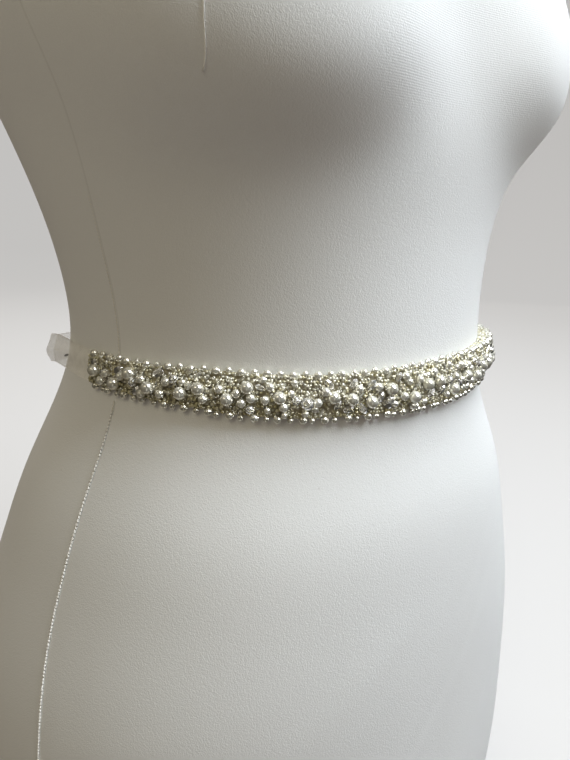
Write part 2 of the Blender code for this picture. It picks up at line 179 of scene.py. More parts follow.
SEED_SIZE = 1.6  # mm
SEED_PITCH = 1.52  # mm between seed beads, before they are jostled
SEED_JOSTLE = 0.35  # mm
SEED_INSET = (1.7, 0.9)  # mm that the seed beads' middles stay inside the strip's lower and upper edge
SEED_END = 0.6  # mm that they stay inside its ends
SEED_CLEARANCE = 0.74  # of another bead's radius, within which there are none
SEED_LOSS = 0.07  # of the seed beads' places that stay empty
SEED_REACH = 12.0  # mm from the strip's middle, at least half of its width
SEED_DEPTH, SEED_LEVELS = -0.75, (-0.8, 0.55)  # mm off the crown, and what chance adds to it
SEED_LOW_SHADE = 0.5  # painted shade: added to the tint of the seed beads towards the lower edge, which deepens and darkens them
SEED_TINT_POWER, SEED_TINT_MOST = 1.3, 1.6  # more than 1 keeps more of them clear, and the top
RIM_DEPTHS = (0.5, 1.7)  # mm from the strip's back, two rows of seed beads along each long edge
RIM_SHARES = (0.3, 0.62, 0.95)  # of the strip's lean, rows that fill the gap behind its upper edge
RIM_LEAN = 0.6  # mm, the least gap that they fill
RIM_INSET = (1.9, 1.6)  # mm that the rim rows stay inside the lower and upper edge
RIM_JOSTLE, RIM_SWAY = 0.3, 0.2  # mm along, and off the back

SMALL_PEARL = 3.1  # mm
SMALL_PEARLS, SMALL_PEARL_TRIES = 62, 4000
SMALL_PEARL_SHARE = 0.78  # of half of the strip's width
SMALL_PEARL_CLEARANCE = 0.84  # of two beads' radii
SMALL_PEARL_DEPTH = 0.1  # mm off the crown
# Of tubes and crystals: size in mm, how many, tries, share of half of the width, mm off the crown.
TUBE_SIZE, TUBES, TUBE_TRIES, TUBE_SHARE, TUBE_DEPTH = (4.2, 1.45, 1.45), 36, 9000, 0.8, -0.1
CRYSTAL_SIZE, CRYSTALS, CRYSTAL_TRIES, CRYSTAL_SHARE, CRYSTAL_DEPTH = (5.6, 3.7, 3.0), 34, 6000, 0.62, -0.2
# Their outlines, in shares of their length and width: along them and out from their axis.
TUBE_OUTLINE = np.array([(-0.5, 0), (-0.5, 0.3), (-0.46, 0.5), (0.46, 0.5), (0.5, 0.3), (0.5, 0)]).T
CRYSTAL_OUTLINE = np.array([(-0.5, 0), (-0.44, 0.22), (-0.2, 0.46), (0.2, 0.46), (0.44, 0.22), (0.5, 0)]).T
LONG_TURN = (0.35, 1.15)  # radians that they slant
LONG_SPOTS = (-0.8, 0, 0.8)  # of half of their length, the places that have to be clear
LONG_CLEARANCE = 0.62  # of half of their width and a bead's radius
LONG_TAKEN = 2.4  # half widths, the diameter that each of these places takes up

RIBBON_WIDTH = 14.0  # mm
RIBBON_GRID = (300, 41)  # points along and across each ribbon
RIBBON_TUCK = 5.0  # mm that the ribbon lies under the strip's end
RIBBON_CLEAR = 0.25  # mm that it always stands off
RIBBON_TUCKED, RIBBON_FREE = 0.25, 0.35  # mm more under the strip and beyond it
RIBBON_FREE_FROM = 94  # degrees
RIBBON_PAST = 3  # degrees that it runs on into the knot
RIBBON_PLEAT = (0.3, 9, 0.09)  # mm high, radians across the ribbon, radians to one degree along it
RIBBON_GATHER = (0.45, 160, 176)  # the share that it narrows to the knot, and between which degrees
# Where the ribbon stands off the form, it bulges along its middle and its lower edge curls in.
CURL_OUT, CURL_IN = 0.1, 0.3  # of how far it stands off
HEM_LENGTH = 45.4  # mm along its upper edge over which the ribbon's end is turned back double
HEM_EDGE = 0.3  # mm on either side of its end, over which it fades
SLIT_PLACE = (29.8, 6.2)  # mm along and across the ribbon, where the hem gapes beside its stitches: a painted shadow spot, opaque and near black
SLIT_TILT = 1.5  # how much its far end drops, in half widths
SLIT_SIZE = (2.7, 0.6)  # mm, half of its length and of its width
SLIT_EDGE = (0.6, 1.1)  # of its size squared, over which it ends
# The ribbon's way round the form: angle from the centre front in degrees, how far it stands off the form
# at its lower and its upper edge, and the height of its middle above the waist, in mm.
RIBBON_RIGHT = (
    (92, 0.4, 0.4, 1.9), (98, 0.8, 0.7, 2.1), (106, 3.0, 2.2, 2.2), (114, 7.4, 5.4, 1.5),
    (120, 10.8, 8.6, -0.7), (126, 11.2, 9.4, -3.8), (133, 7.6, 7.2, -5.8), (142, 3.2, 3.4, -6.0),
    (152, 1.1, 1.2, -4.8), (163, 0.5, 0.5, -2.6), (173, 0.9, 0.9, -1.0),
)
RIBBON_LEFT = (
    (92, 0.4, 0.4, 1.8), (102, 1.2, 0.9, 1.8), (112, 3.2, 2.4, 1.0), (122, 4.0, 3.4, -0.8),
    (132, 3.0, 3.0, -2.4), (143, 1.4, 1.6, -3.2), (153, 0.7, 0.7, -2.8), (163, 0.5, 0.5, -1.8),
    (173, 0.9, 0.9, -1.0),
)
KNOT_SIZE = (15.0, 8.0, 17.0)  # mm wide, deep and high
KNOT_STAND_OFF = 4.95  # mm from the skin to its middle
KNOT_GRID = (72, 41)  # points round it, and from end to end
KNOT_FOLDS = (0.07, 5, 3.2)  # their height as a share, their number, and how much they slant
KNOT_ROUND, KNOT_RISE = 0.85, 0.8  # powers of its outline seen from above and from the side
TAIL_LENGTH = {"tail_right": 185.0, "tail_left": 170.0}  # mm
TAIL_GRID = (150, 17)  # points along and across
TAIL_SLANT = 9  # mm that its inner edge is shorter
TAIL_TUCK = 2  # mm that it starts inside the knot
TAIL_TAKE_UP = 3  # mm that its waves shorten it
TAIL_INSET = 0.8  # mm from the centre back to its inner edge, at the knot
TAIL_SPREAD = 15.0  # mm that this grows towards its end
TAIL_SPREAD_POWER = 1.3  # 1 grows evenly, and more grows near the end
TAIL_GATHER = 0.45  # of its width, at the knot
TAIL_GATHER_LENGTH = 34.0  # mm over which it opens to its full width
TAIL_STAND = 0.5  # mm that it stands off, besides twice the gap
TAIL_WAVE = 1.6  # mm high
TAIL_WAVE_LENGTH = 62.0  # mm
TAIL_PLEAT = (0.5, 0.8, 14)  # mm high, the share lost where it opens, radians across
TAIL_RIPPLE = (0.15, 6, 0.05)  # mm high, radians across, radians to one mm along


# ---- surfaces ----
def together(*parts):
    """Arrays of one coordinate each, spread to one shape and joined along a new last axis."""
    return np.stack(np.broadcast_arrays(*parts), -1)


def unit(vectors):
    """The vectors at length 1."""
    return vectors / np.linalg.norm(vectors, axis=-1, keepdims=True)


def swung(first, second, angle):
    """Two axes swung in their plane, the first towards the second: first * cos + second * sin, and
    second * cos - first * sin."""
    return (
        first * np.cos(angle) + second * np.sin(angle),
        second * np.cos(angle) - first * np.sin(angle),
    )


def signed_power(base, power):
    """A power of the base's size, with the base's sign."""
    return np.sign(base) * np.abs(base) ** power


def ease(value, start, end):
    """0 before start and 1 after end, with the smooth step 3t^2 - 2t^3 between."""
    t = np.clip((value - start) / (end - start), 0, 1)
    return t * t * (3 - 2 * t)


def cubic(values, slopes, row, t, step):
    """The cubic from a table's row to the next, a step on, that has their values and slopes: t is 0 at
    the first and 1 at the second."""
    return (
        values[row] * (1 + 2 * t) * (1 - t) ** 2
        + values[row + 1] * t**2 * (3 - 2 * t)
        + step * slopes[row] * t * (1 - t) ** 2
        - step * slopes[row + 1] * t**2 * (1 - t)
    )


def spline(name, height):
    """One column of SECTIONS at any heights: the cubic through all rows whose curvature is smooth."""
    z, v = SECTIONS["height"], SECTIONS[name]
    step, rise = np.diff(z), np.diff(v) / np.diff(z)
    n = len(z)
    system, right = np.zeros((n, n)), np.zeros(n)
    system[0, :2], right[0] = (2, 1), 3 * rise[0]
    system[-1, -2:], right[-1] = (1, 2), 3 * rise[-1]
    for i in range(1, n - 1):
        system[i, i - 1 : i + 2] = step[i], 2 * (step[i - 1] + step[i]), step[i - 1]
        right[i] = 3 * (rise[i - 1] * step[i] + rise[i] * step[i - 1])
    i = np.clip(np.searchsorted(z, height, side="right") - 1, 0, n - 2)
    return cubic(v, np.linalg.solve(system, right), i, (height - z[i]) / step[i], step[i])


def smooth_table(rows, at):
    """The columns of a short table after its first, at any values of the first: cubics that meet with
    the slope of the rows on either side."""
    table, at = np.array(rows, float), np.asarray(at, float)
    i = np.clip(np.searchsorted(table[:, 0], at) - 1, 0, len(table) - 2)
    slope = np.gradient(table[:, 1:], table[:, 0], axis=0)
    step = (table[i + 1, 0] - table[i, 0])[..., None]
    return cubic(table[:, 1:], slope, i, (at[..., None] - table[i, :1]) / step, step)


def form_surface(angle, height):
    """Points of the form's skin: at each height a squared ellipse, x = side * sin^(2/n) and
    y = -depth * cos^(2/n), with two rounded mounds exp(-(r^2)^fullness) added to the front."""
    angle, height = np.broadcast_arrays(np.asarray(angle, float), np.asarray(height, float))
    side, front, back = (spline(name, height) for name in ("side", "front", "back"))
    power = 2 / spline("squareness", height)
    cosine = np.cos(angle)
    x = side * signed_power(np.sin(angle), power)
    y = -np.where(cosine > 0, front, back) * signed_power(cosine, power)
    sideways, upwards = np.abs(x) - BUST_HALF_SPACING, height - BUST_HEIGHT
    sideways = sideways / np.where(sideways > 0, BUST_SPREAD_OUT, BUST_SPREAD_IN)
    upwards = upwards / np.where(upwards > 0, BUST_SPREAD_UP, BUST_SPREAD_DOWN)
    mound = np.exp(-((sideways**2 + upwards**2) ** BUST_FULLNESS))
    return together(x, y - BUST_DEPTH * mound * ease(BUST_FACING * cosine, 0, 1), height)


def form_normal(angle, height):
    """Unit normals of the skin, pointing out, from small steps round it and up it."""
    turn, lift = 0.01, 1.0
    along = form_surface(angle + turn, height) - form_surface(angle - turn, height)
    up = form_surface(angle, height + lift) - form_surface(angle, height - lift)
    return unit(np.cross(along, up))


def level_out(angle, height):
    """Unit vectors that point level out from the skin."""
    return unit(form_normal(angle, height) * np.array([1, 1, 0]))


def stand_off(angle, height, depth):
    """Points that stand level out from the skin by a depth in mm, at unchanged height."""
    out = level_out(angle, height)
    return form_surface(angle, height) + out * np.broadcast_to(depth, out.shape[:-1])[..., None]


def to_world(points):
    """From mm about the middle of the waist to the part's frame in metres."""
    return (points + np.array([0, 0, WAIST_HEIGHT])) * MM


def length_along(points):
    """The distance along a line of points from its first, at each of them."""
    return np.concatenate([[0], np.cumsum(np.linalg.norm(np.diff(points, axis=0), axis=1))])


WAIST_ANGLES = np.linspace(-math.pi, math.pi, 2881)
WAIST_LENGTH = length_along(form_surface(WAIST_ANGLES, 0.0))
WAIST_LENGTH -= np.interp(0.0, WAIST_ANGLES, WAIST_LENGTH)


def angle_at(distance):
    """The angle at a distance in mm round the waist from the centre front, left being positive."""
    return np.interp(distance, WAIST_LENGTH, WAIST_ANGLES)


def strip_shape(distance):
    """Height of the strip's middle, half of its width and its lean at a distance round the front."""
    return smooth_table(STRIP_SHAPE, distance)


def half_width(distance):
    """Half of the strip's width at a distance from the centre front, with round corners."""
    half = strip_shape(distance)[..., 1]
    from_end = STRIP_LENGTH / 2 - np.abs(distance)
    corner = np.clip(1 - from_end / STRIP_CORNER, 0, 1)
    return half - STRIP_CORNER * (1 - np.sqrt(1 - STRIP_CORNER_SHARE * corner**2))


def on_strip(distance, height, depth):
    """Points by their distance round the front and height from the strip's middle, a depth in mm out
    from the strip's back, which leans off the form towards its upper edge."""
    middle, half, lean = np.moveaxis(strip_shape(distance), -1, 0)
    raised = np.clip((1 + height / half) / 2, 0, 1) ** STRIP_LEAN_POWER
    return stand_off(angle_at(distance), height + middle, GAP + lean * raised + depth)


def crown(across):
    """How far the strip stands off the form, from its edge (-1 or 1) over its middle (0), in mm."""
    rise = np.clip(1 - np.asarray(across) ** 2, 0, 1) ** STRIP_CROWN_POWER
    return STRIP_EDGE_DEPTH + (STRIP_CROWN_DEPTH - STRIP_EDGE_DEPTH) * rise


def crown_at(distance, height):
    """The crown at a distance round the front and a height from the strip's middle."""
    return crown(height / half_width(distance))


# ---- meshes ----
def grid_faces(columns, rows, wrap=False, ring=False):
    """Quads between neighbours of a grid of points whose first index runs along the columns. wrap joins
    the last column to the first, and ring the last row to the first."""
    i, j = np.indices((columns - (not wrap), rows - (not ring)))
    k, m = (i + 1) % columns, (j + 1) % rows
    return np.stack([i * rows + j, k * rows + j, k * rows + m, i * rows + m], -1).reshape(-1, 4)


def end_fans(columns, rows):
    """Triangles that close the two ends of a wrapped grid, each with one point: these two points follow
    the grid's own."""
    i = np.arange(columns)
    k = (i + 1) % columns
    first, last = i * 0 + columns * rows, i * 0 + columns * rows + 1
    fans = [(k * rows, i * rows, first), (i * rows + rows - 1, k * rows + rows - 1, last)]
    return np.transpose(fans, (2, 0, 1)).reshape(-1, 3)


def new_object(name, points, faces, paint, smooth=True):
    """A mesh in the scene, from points in metres."""
    mesh = bpy.data.meshes.new(name)
    mesh.from_pydata(np.reshape(points, (-1, 3)).tolist(), [], [list(map(int, f)) for f in faces])
    mesh.polygons.foreach_set("use_smooth", np.full(len(mesh.polygons), smooth))
    mesh.materials.append(paint)
    mesh.update()
    made = bpy.data.objects.new(name, mesh)
    bpy.context.scene.collection.objects.link(made)
    return made


def new_piece(name, points, faces, paint, slot, smooth=True, uv=None, **marks):
    """A piece that rides on the one body. uv has one pair a face corner, and each mark is a named number
    a point."""
    piece = new_object(name, points, faces, paint, smooth)
    if uv is not None:
        layer = piece.data.uv_layers.new(name="cloth")
        layer.data.foreach_set("uv", np.ravel(uv).astype(np.float32))
    for mark, values in marks.items():
        made = piece.data.attributes.new(mark, "FLOAT", "POINT")
        made.data.foreach_set("value", np.ravel(values).astype(np.float32))
    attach(piece, "root")
    return piece


def turned(along, radius, around):
    """A bead turned about its first axis: (along, radius * cos, radius * sin), closed by one point at
    each end. The sides are wound inwards and the ends outwards, a known fault that the finishes of the
    beads and stitches were set with."""
    angle = (np.arange(around) * 2 * math.pi / around)[:, None]
    radius = radius[None, 1:-1]
    rings = together(along[None, 1:-1], radius * np.cos(angle), radius * np.sin(angle))
    points = np.concatenate([rings.reshape(-1, 3), [[along[0], 0, 0], [along[-1], 0, 0]]])
    rows = rings.shape[1]
    return points, [*grid_faces(around, rows, wrap=True)[:, ::-1], *end_fans(around, rows)]


def ball(around, rings):
    """A ball of diameter 1."""
    angle = np.linspace(0, math.pi, rings + 1)
    return turned(-0.5 * np.cos(angle), 0.5 * np.sin(angle), around)


def holed_bead(around, rings, hole=0.24, length=0.42):
    """A seed bead of diameter 1 about its first axis: a ring whose wall is an ellipse, along = length *
    cos and radius = middle + half of the wall * sin. It is wound inwards, as the sides of turned are."""
    turn = (np.arange(around) * 2 * math.pi / around)[:, None]
    profile = (np.arange(rings) * 2 * math.pi / rings)[None, :]
    middle, wall = (0.5 + hole) / 2, (0.5 - hole) / 2
    radius = middle + wall * np.sin(profile)
    points = together(length * np.cos(profile), radius * np.cos(turn), radius * np.sin(turn))
    return points.reshape(-1, 3), list(grid_faces(around, rings, wrap=True, ring=True))


def strewn(shape, places, frames, sizes):
    """Many copies of one small shape in one mesh: point = place + frame * (size * shape's point). places
    are in mm, the frames' columns are a bead's own axes and the sizes are its diameter, or its three."""
    points, faces = shape
    sized = points[None] * np.reshape(sizes, (len(places), 1, -1))
    spots = places[:, None, :] + np.einsum("nij,nkj->nki", frames, sized)
    starts = np.arange(len(places)) * len(points)
    return to_world(spots.reshape(-1, 3)), [face + start for start in starts for face in faces]


def strip_frames(distance, height, turn=0.0, tilt=0.0, roll=0.0):
    """Axes of beads on the strip. Untilted, the first axis lies along the strip, the second points up and
    the third out. turn swings the first axis up, tilt swings it out and roll goes round it."""
    angle = angle_at(distance)
    out = level_out(angle, height)
    up = np.broadcast_to(np.array([0.0, 0.0, 1.0]), out.shape)
    turn, tilt, roll = (np.broadcast_to(v, angle.shape)[:, None] for v in (turn, tilt, roll))
    first, second = swung(np.cross(up, out), up, turn)
    first, third = swung(first, out, tilt)
    second, third = swung(second, third, roll)
    return np.stack([first, second, third], -1)


# ---- materials ----
def maths(operation, swapped=False):
    """A method of Value that adds one Math node, its two numbers swapped or not."""

    def method(value, *others):
        numbers = (*others, value) if swapped else (value, *others)
        return value.paint.node("Math", {"operation": operation}, dict(enumerate(numbers)))

    return method


class Value:
    """An output of a material's node. Sums of values and numbers add the Math nodes for them."""

    def __init__(self, paint, end):
        self.paint, self.end = paint, end

    __add__ = __radd__ = maths("ADD")
    __mul__ = __rmul__ = maths("MULTIPLY")
    __sub__ = maths("SUBTRACT")
    __rsub__ = maths("SUBTRACT", swapped=True)
    sine, size = maths("SINE"), maths("ABSOLUTE")
    least, most = maths("MINIMUM"), maths("MAXIMUM")


class Paint:
    """One material and the nodes that make it."""

    def __init__(self, name):
        self.material = bpy.data.materials.new(name)
        self.material.use_nodes = True
        self.tree = self.material.node_tree
        self.tree.nodes.clear()

    def node(self, kind, settings=None, sockets=None, output=0):
        """A node of a kind: its settings first, then its sockets' values or links, by name or number."""
        node = self.tree.nodes.new("ShaderNode" + kind)
        for name, value in (settings or {}).items():
            setattr(node, name, value)
        for name, value in (sockets or {}).items():
            socket = node.inputs[name]
            if isinstance(value, Value):
                self.tree.links.new(value.end, socket)
            elif socket.type == "RGBA" and len(value) == 3:
                socket.default_value = (*value, 1)
            else:
                socket.default_value = value
        return Value(self, node.outputs[output]) if node.outputs else None

    def blend(self, factor, first, second):
        """first where the factor is 0, second where it is 1."""
        return self.node("Mix", {"data_type": "RGBA"}, {0: factor, 6: first, 7: second}, 2)

    def place(self):
        """The place on the piece, in metres."""
        return self.node("TexCoord", output="Object")

    def cloth(self):
        """The two coordinates of a piece's own UV map, in metres along the cloth."""
        uv = self.node("UVMap", {"uv_map": "cloth"})
        return [self.node("SeparateXYZ", sockets={0: uv}, output=n) for n in (0, 1)]

    def mark(self, name):
        """One of the piece's named numbers."""
        return self.node("Attribute", {"attribute_name": name}, output="Fac")

    def noise(self, vector, scale, detail=2.0, roughness=0.5):
        sockets = {"Vector": vector, "Scale": scale, "Detail": detail, "Roughness": roughness}
        return self.node("TexNoise", sockets=sockets)

    def bump(self, height, distance, strength=1.0):
        return self.node("Bump", sockets={"Strength": strength, "Distance": distance, "Height": height})

    def done(self, **sockets):
        """The surface: a Principled BSDF with these sockets, an underscore standing for a space."""
        named = {name.replace("_", " "): value for name, value in sockets.items()}
        shader = self.node("BsdfPrincipled", sockets=named)
        self.node("OutputMaterial", sockets={"Surface": shader})
        return self.material


def waves(coordinate, pitch):
    """A sine along a coordinate in metres, one wave to a pitch."""
    return (coordinate * (2 * math.pi / pitch)).sine()


def jersey():
    """Matte white knit: its fine uneven yarn stands up a little and is flecked, a few specks of lint lie
    on it, and its level courses show where the mark "taut" says that it is stretched. In front of the side
    seam the fine ditch is darkened by painted shade."""
    paint = Paint("white_jersey")
    up = paint.cloth()[1]
    place = paint.place()
    yarn = paint.noise(place, 2300, 0) - 0.5
    courses = waves(up, COURSE) * paint.mark("taut")
    fleck = paint.noise(place, 3400, 0) - 0.5
    cloud = paint.noise(place, 14, 3) - 0.5
    loft = paint.noise(place, 1000, 2) - 0.5
    shade = 0.5 + fleck * 0.1 + yarn * 0.1 + courses * 0.05 + cloud * 0.06
    colour = paint.blend(shade.least(1).most(0), (0.60, 0.596, 0.58), (0.99, 0.985, 0.958))
    lint = paint.node("TexVoronoi", {"feature": "F1"}, {"Vector": place, "Scale": 48.0})
    colour = paint.blend((1 - lint * 34).most(0) * 0.3, colour, (0.33, 0.29, 0.24))
    # painted shade: darkens the fine ditch just in front of the side seam, more above the waist
    ditch_shade = (1 - (paint.mark("seam") - 0.75).size() * 1.6).most(0)
    colour = paint.blend(ditch_shade * paint.mark("ditch_shade_share") * 0.12, colour, (0.34, 0.32, 0.29))
    return paint.done(
        Base_Color=colour,
        Roughness=0.92,
        Sheen_Weight=0.12,
        Sheen_Roughness=0.5,
        Specular_IOR_Level=0.25,
        Normal=paint.bump(yarn + loft * 1.2 + courses * 0.3, 0.000075),
    )


def thread(name, colour):
    """Twisted sewing thread."""
    paint = Paint(name)
    fuzz = paint.noise(paint.place(), 1800, 3)
    return paint.done(
        Base_Color=paint.blend(fuzz, [0.86 * c for c in colour], colour),
        Roughness=0.4,
        Sheen_Weight=0.5,
        Normal=paint.bump(fuzz, 0.00008, 0.5),
    )


def pearl(name, colour, deep, mirror):
    """Glass pearl: a bright nacre that mirrors softly, under a clear gloss, with a warm body that differs
    a little from bead to bead."""
    paint = Paint(name)
    nacre = paint.noise(paint.place(), 420, 3)
    return paint.done(
        Base_Color=paint.blend(paint.mark("tint") * 0.7 + nacre * 0.3, colour, deep),
        Metallic=mirror,
        Roughness=0.06 + nacre * 0.05,
        Specular_IOR_Level=0.6,
        Coat_Weight=1.0,
        Coat_Roughness=0.04,
        Coat_IOR=1.6,
        Sheen_Weight=0.5,
        Sheen_Roughness=0.12,
        Normal=paint.bump(nacre, 0.00003, 0.15),
    )


def silver_lined(name, bright, deep, mirror):
    """Seed beads and tubes of clear glass over silver foil: most of them clear, some straw coloured. On
    the seed beads the tint mark also carries painted shade, deeper towards the strip's lower edge.
    """
    paint = Paint(name)
    foil = paint.noise(paint.place(), 1500, 2)
    return paint.done(
        Base_Color=paint.blend(paint.mark("tint").least(1), bright, deep),
        Metallic=mirror,
        Roughness=0.14 + foil * 0.2,
        Coat_Weight=1.0,
        Coat_Roughness=0.03,
        Coat_IOR=1.85,
        Normal=paint.bump(foil, 0.0001, 0.5),
    )


def glass(name, colour):
    """Clear faceted glass."""
    paint = Paint(name)
    haze = paint.noise(paint.place(), 900, 2)
    return paint.done(
        Base_Color=paint.blend(haze, colour, [0.94 * c for c in colour]),
        Roughness=0.03 + haze * 0.03,
        IOR=1.62,
        Transmission_Weight=0.8,
        Specular_IOR_Level=0.8,
        Coat_Weight=1.0,
        Coat_Roughness=0.02,
    )


def net(name, pitch):
    """The net and felt behind the beads: a tan ground with a fine lattice of paler threads, a pitch in
    metres apart."""
    paint = Paint(name)
    across, up = paint.cloth()
    lattice = waves(across, pitch).size().least(waves(up, pitch).size())
    fuzz = paint.noise(paint.place(), 1300, 3)
    colour = paint.blend((1 - lattice * 2.2).most(0), (0.36, 0.32, 0.21), (0.54, 0.49, 0.35))
    return paint.done(
        Base_Color=paint.blend(fuzz * 0.4, colour, (0.22, 0.19, 0.12)),
        Roughness=0.8,
        Normal=paint.bump(lattice + fuzz, 0.00015, 0.6),
    )


def organza(name, opacity, warp_pitch, weft_pitch):
    """Sheer organza: a plain weave of fine threads, denser where they cross and seen through in between.
    Its selvedges are denser. Where the mark "double" is 1 the cloth lies double, and the slit mark makes
    it
    opaque and near black: a painted shadow where the hem gapes."""
    paint = Paint(name)
    across, up = paint.cloth()
    weave = (waves(across, warp_pitch) * 0.5 + 0.5).most(waves(up, weft_pitch) * 0.5 + 0.5)
    slub = paint.noise(paint.place(), 260, 3)
    selvedge = (1 - up.least(RIBBON_WIDTH * MM - up).most(0) * 1500).most(0)
    single = opacity * (0.7 + weave * 0.35 + (slub - 0.5) * 0.4) + selvedge * 0.28
    cover = single + (1 - single) * single * paint.mark("double")
    slit = paint.mark("slit")
    yarn = paint.blend(slub, (0.88, 0.855, 0.81), (0.98, 0.965, 0.93))
    return paint.done(
        # painted shadow: where the slit mark is, the cloth is near black and opaque
        Base_Color=paint.blend(slit, yarn, (0.03, 0.026, 0.02)),
        Roughness=0.45,
        Sheen_Weight=0.4,
        Sheen_Roughness=0.3,
        Alpha=cover.most(slit).least(1),
        Normal=paint.bump(weave + slub, 0.00005, 0.6),
    )


JERSEY = jersey()
THREAD = thread("sewing_thread", (0.98, 0.945, 0.87))
PEARL = pearl("ivory_pearl", (0.96, 0.94, 0.85), (0.90, 0.875, 0.75), 0.5)
# painted shade: a darker, more mirror-like copy of the pearl finish, for the pearls along the lower edge
EDGE_PEARL_SHADED = pearl("edge_pearl_painted_shade", (0.89, 0.87, 0.77), (0.77, 0.74, 0.62), 0.62)
SEED = silver_lined("silver_lined_seed", (0.80, 0.775, 0.66), (0.55, 0.495, 0.28), 0.12)
TUBE = silver_lined("silver_lined_tube", (0.77, 0.755, 0.67), (0.60, 0.56, 0.40), 0.4)
GLASS = glass("clear_crystal", (0.97, 0.96, 0.90))
NET = net("net_backing", 0.0009)
ORGANZA = organza("sheer_organza", 0.44, 0.0005, 0.00055)


# ---- the form's cover ----
def seam_angle(height):
    """Degrees from the centre front of the side seam at a height."""
    return smooth_table(SEAM_ROUTE, height)[..., 0]


def seam_ridge(height):
    """The share of SEAM_PROFILE by which the seam is raised: less above the waist."""
    share, *between = SEAM_LOW
    return 1 - share * ease(height, *between)


def creases(angle, height):
    """Drag lines in the jersey: long low ridges, a bell across and a bell along."""
    degrees = np.degrees(angle)
    total = np.zeros(np.shape(angle))
    for middle, level, slope, width, length, rise in CREASES:
        off = (height - level - slope * (degrees - middle)) / width
        along = (degrees - middle) / length
        total = total + rise * np.exp(-(off**2) - along**2)
    return total


def cover_columns():
    """Nominal angles round the cover in degrees, with extra columns across each side seam, and each
    column's distance in mm in front of the nearest seam."""
    middle = seam_angle(0.0)
    seam = middle - np.array(SEAM_PROFILE)[:, 0] / SEAM_DEGREE
    even = np.linspace(-180, 180, COVER_COLUMNS, endpoint=False) + 180 / COVER_COLUMNS
    low, high = seam.min() - SEAM_CLEAR, seam.max() + SEAM_CLEAR
    even = even[(np.abs(even) < low) | (np.abs(even) > high)]
    columns = np.sort(np.concatenate([even, seam, -seam]))
    return columns, (middle - np.abs(columns)) * SEAM_DEGREE


def make_cover():
    """The form's skin on a fine grid: point = skin + normal * (seam allowance and ditch + creases). The
    columns lean with the seam: angle = nominal + sign * (seam(height) - seam(0)) * fade. The bottom and
    top edges are rounded: height = edge * (1 - cos) and inset = edge * (1 - sin)."""
    columns, before = cover_columns()
    bottom, top = SECTIONS["height"][0], SECTIONS["height"][-1]
    bend = np.linspace(0, math.pi / 2, COVER_EDGE_RINGS)
    rounding, lift = FORM_EDGE * (1 - np.sin(bend)), FORM_EDGE * (1 - np.cos(bend))
    between = np.arange(bottom + FORM_EDGE + COVER_STEP, top - FORM_EDGE - 1, COVER_STEP)
    heights = np.concatenate([bottom + lift, between, top - lift[::-1]])
    inset = np.concatenate([rounding, np.zeros(len(between)), rounding[::-1]])
    lean = seam_angle(heights) - seam_angle(0.0)
    fade = 1 - ease(np.abs(before) / SEAM_DEGREE, *SEAM_FADE)
    angle = np.radians(columns[:, None] + np.sign(columns)[:, None] * fade[:, None] * lean[None, :])
    level = np.broadcast_to(heights, angle.shape)
    raised = np.interp(before, *np.transpose(SEAM_PROFILE), left=0, right=0)
    raised = raised[:, None] * seam_ridge(level) * ease(top - level, *SEAM_END)
    skin = form_surface(angle, level)
    skin = skin + form_normal(angle, level) * (raised + creases(angle, level))[..., None]
    skin[..., 2] = level
    reach = np.linalg.norm(skin[..., :2], axis=-1, keepdims=True)
    skin[..., :2] *= 1 - inset[None, :, None] / reach
    sides, rows = skin.shape[:2]
    rim = np.arange(sides) * rows
    faces = [*grid_faces(sides, rows, wrap=True), rim[::-1], rim + rows - 1]
    turn = np.radians(np.concatenate([columns, columns[:1] + 360])) * COVER_RADIUS
    cloth = together(turn[:, None], heights * MM).reshape(-1, 2)
    caps = np.concatenate([skin[::-1, 0, :2], skin[:, -1, :2]]) * MM
    uv = np.concatenate([cloth[grid_faces(sides + 1, rows).ravel()], caps])
    # painted shade in the seam's ditch: its share grows above the waist
    share, *shade_heights = SEAM_DITCH_SHADE
    taut = 1 - ease(np.abs(skin[..., 0]), *TAUT_WIDTH)
    taut = taut * ease(level, *TAUT_BELOW) * (1 - ease(level, *TAUT_ABOVE)) * (skin[..., 1] < 0)
    marks = {
        "seam": np.broadcast_to(before[:, None], (sides, rows)),
        "ditch_shade_share": 1 + share * ease(level, *shade_heights),
        "taut": taut,
    }
    cover = new_piece("form_cover", to_world(skin), faces, JERSEY, "jersey", uv=uv, **marks)
    cover.data.set_sharp_from_angle(angle=math.radians(COVER_SHARP))
    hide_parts("dress_form")


def make_seam_thread():
    """Short slanted twists of thread along each side seam, each a slim spindle."""
    heights = np.concatenate([np.arange(*part, STITCH_PITCH) for part in STITCHED])
    size = np.interp(heights, *np.transpose(STITCH_FADE))
    ridge = max(rise for _, rise in SEAM_PROFILE) * seam_ridge(heights)
    stand = (ridge + STITCH_STAND * size)[:, None]
    slant = math.radians(STITCH_SLANT)
    places, frames = [], []
    for side in (-1, 1):
        angle = side * np.radians(seam_angle(heights))
        normal = form_normal(angle, heights)
        up = form_surface(angle, heights + 1) - form_surface(angle, heights - 1)
        up = unit(up - normal * np.sum(up * normal, -1, keepdims=True))
        across = np.cross(up, normal) * side
        first = unit(up * math.cos(slant) + across * math.sin(slant))
        places.append(form_surface(angle, heights) + normal * stand)
        frames.append(np.stack([first, np.cross(normal, first), normal], -1))
    sizes = np.array(STITCH_SIZE) * np.tile(size, 2)[:, None]
    points, faces = strewn(ball(6, 4), np.concatenate(places), np.concatenate(frames), sizes)
    new_piece("seam_stitches", points, faces, THREAD, "jersey")


